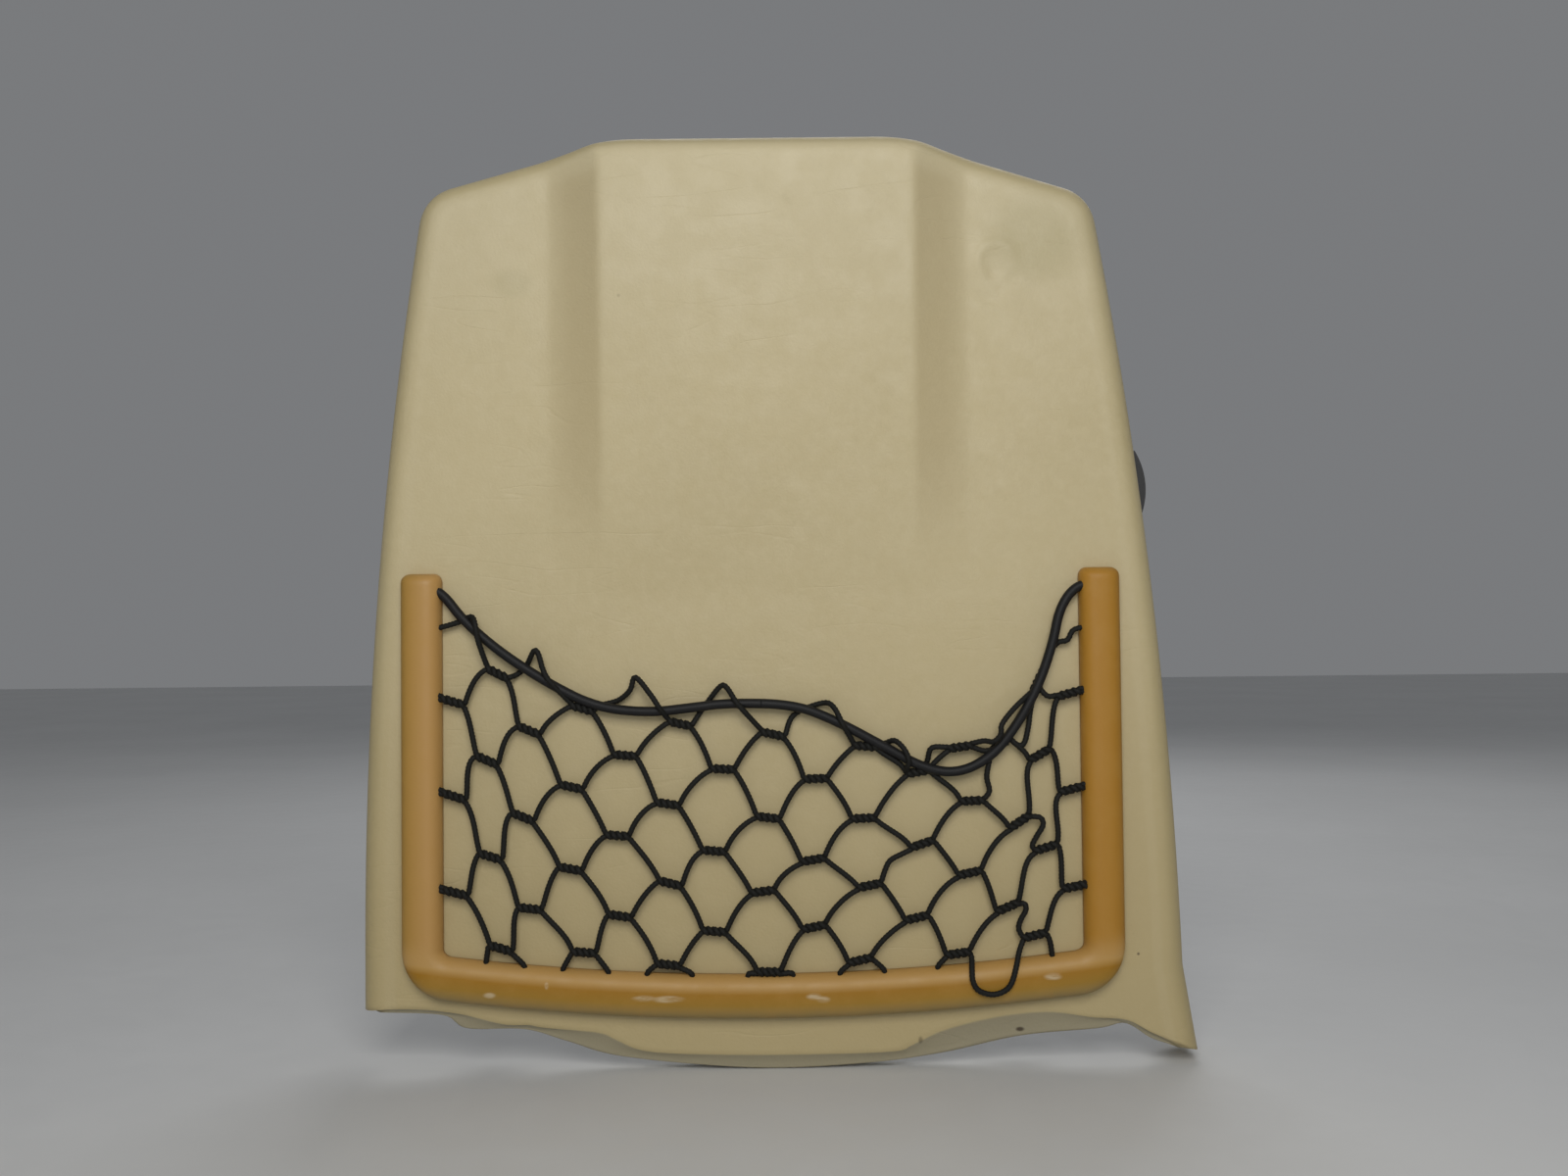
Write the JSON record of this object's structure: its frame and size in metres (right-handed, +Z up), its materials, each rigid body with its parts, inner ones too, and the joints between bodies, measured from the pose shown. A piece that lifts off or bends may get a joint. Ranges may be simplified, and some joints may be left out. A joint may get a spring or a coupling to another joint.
{
  "type": "seat backrest rear panel",
  "caption": "Leatherette-covered rear panel of a vehicle seat's backrest, with a U-shaped moulding that holds a net map pocket and its elastic cord.",
  "frame": {"origin": "midway between the two lower fixing holes, on the underside of their brackets", "axes": "+Z up along the panel, -Y out of the visible face towards the rear passenger, +X to that passenger's right"},
  "size_m": [0.5214, 0.0645, 0.5801],
  "materials": {
    "leatherette": "fine grain, satin",
    "foam": "matte",
    "shell": "moulded, matte",
    "amber_plastic": "satin, scuffed",
    "net_cord": "braided, matte",
    "elastic": "braided, slight sheen",
    "steel": "zinc plated",
    "black_plastic": "moulded",
    "felt": "felt"
  },
  "bodies": {
    "panel": {"leather_cover": "leatherette", "foam_padding": "foam", "backing_shell": "shell", "cross_stiffener": "steel", "stiffener_rivets": "steel", "pocket_frame": "amber_plastic", "frame_push_nuts": "steel", "net_clamp_strip": "black_plastic", "net_edge_cord": "net_cord", "elastic_stop_left": "steel", "elastic_stop_right": "steel", "upper_hook_left": "steel", "upper_hook_right": "steel", "upper_backing_discs": "steel", "upper_hook_rivets": "steel", "side_hook_left": "black_plastic", "side_hook_right": "black_plastic", "side_hook_screws": "steel", "lower_bracket_left": "steel", "lower_bracket_right": "steel", "lower_bracket_rivets": "steel", "lower_speed_nuts": "steel", "anti_rattle_pads": "felt", "hem_staples": "steel"},
    "pocket": {"pocket_net": "net_cord", "elastic_cord_left": "elastic", "elastic_cord_right": "elastic"}
  },
  "joints": [
    {"name": "pocket_opening", "type": "hinge", "parent": "panel", "child": "pocket", "pos_m": [0, -0.033, 0.0288], "axis": [1, 0, 0], "range_deg": [0, 20], "stiffness_Nm_per_rad": 2, "springref_deg": -1.72}
  ]
}
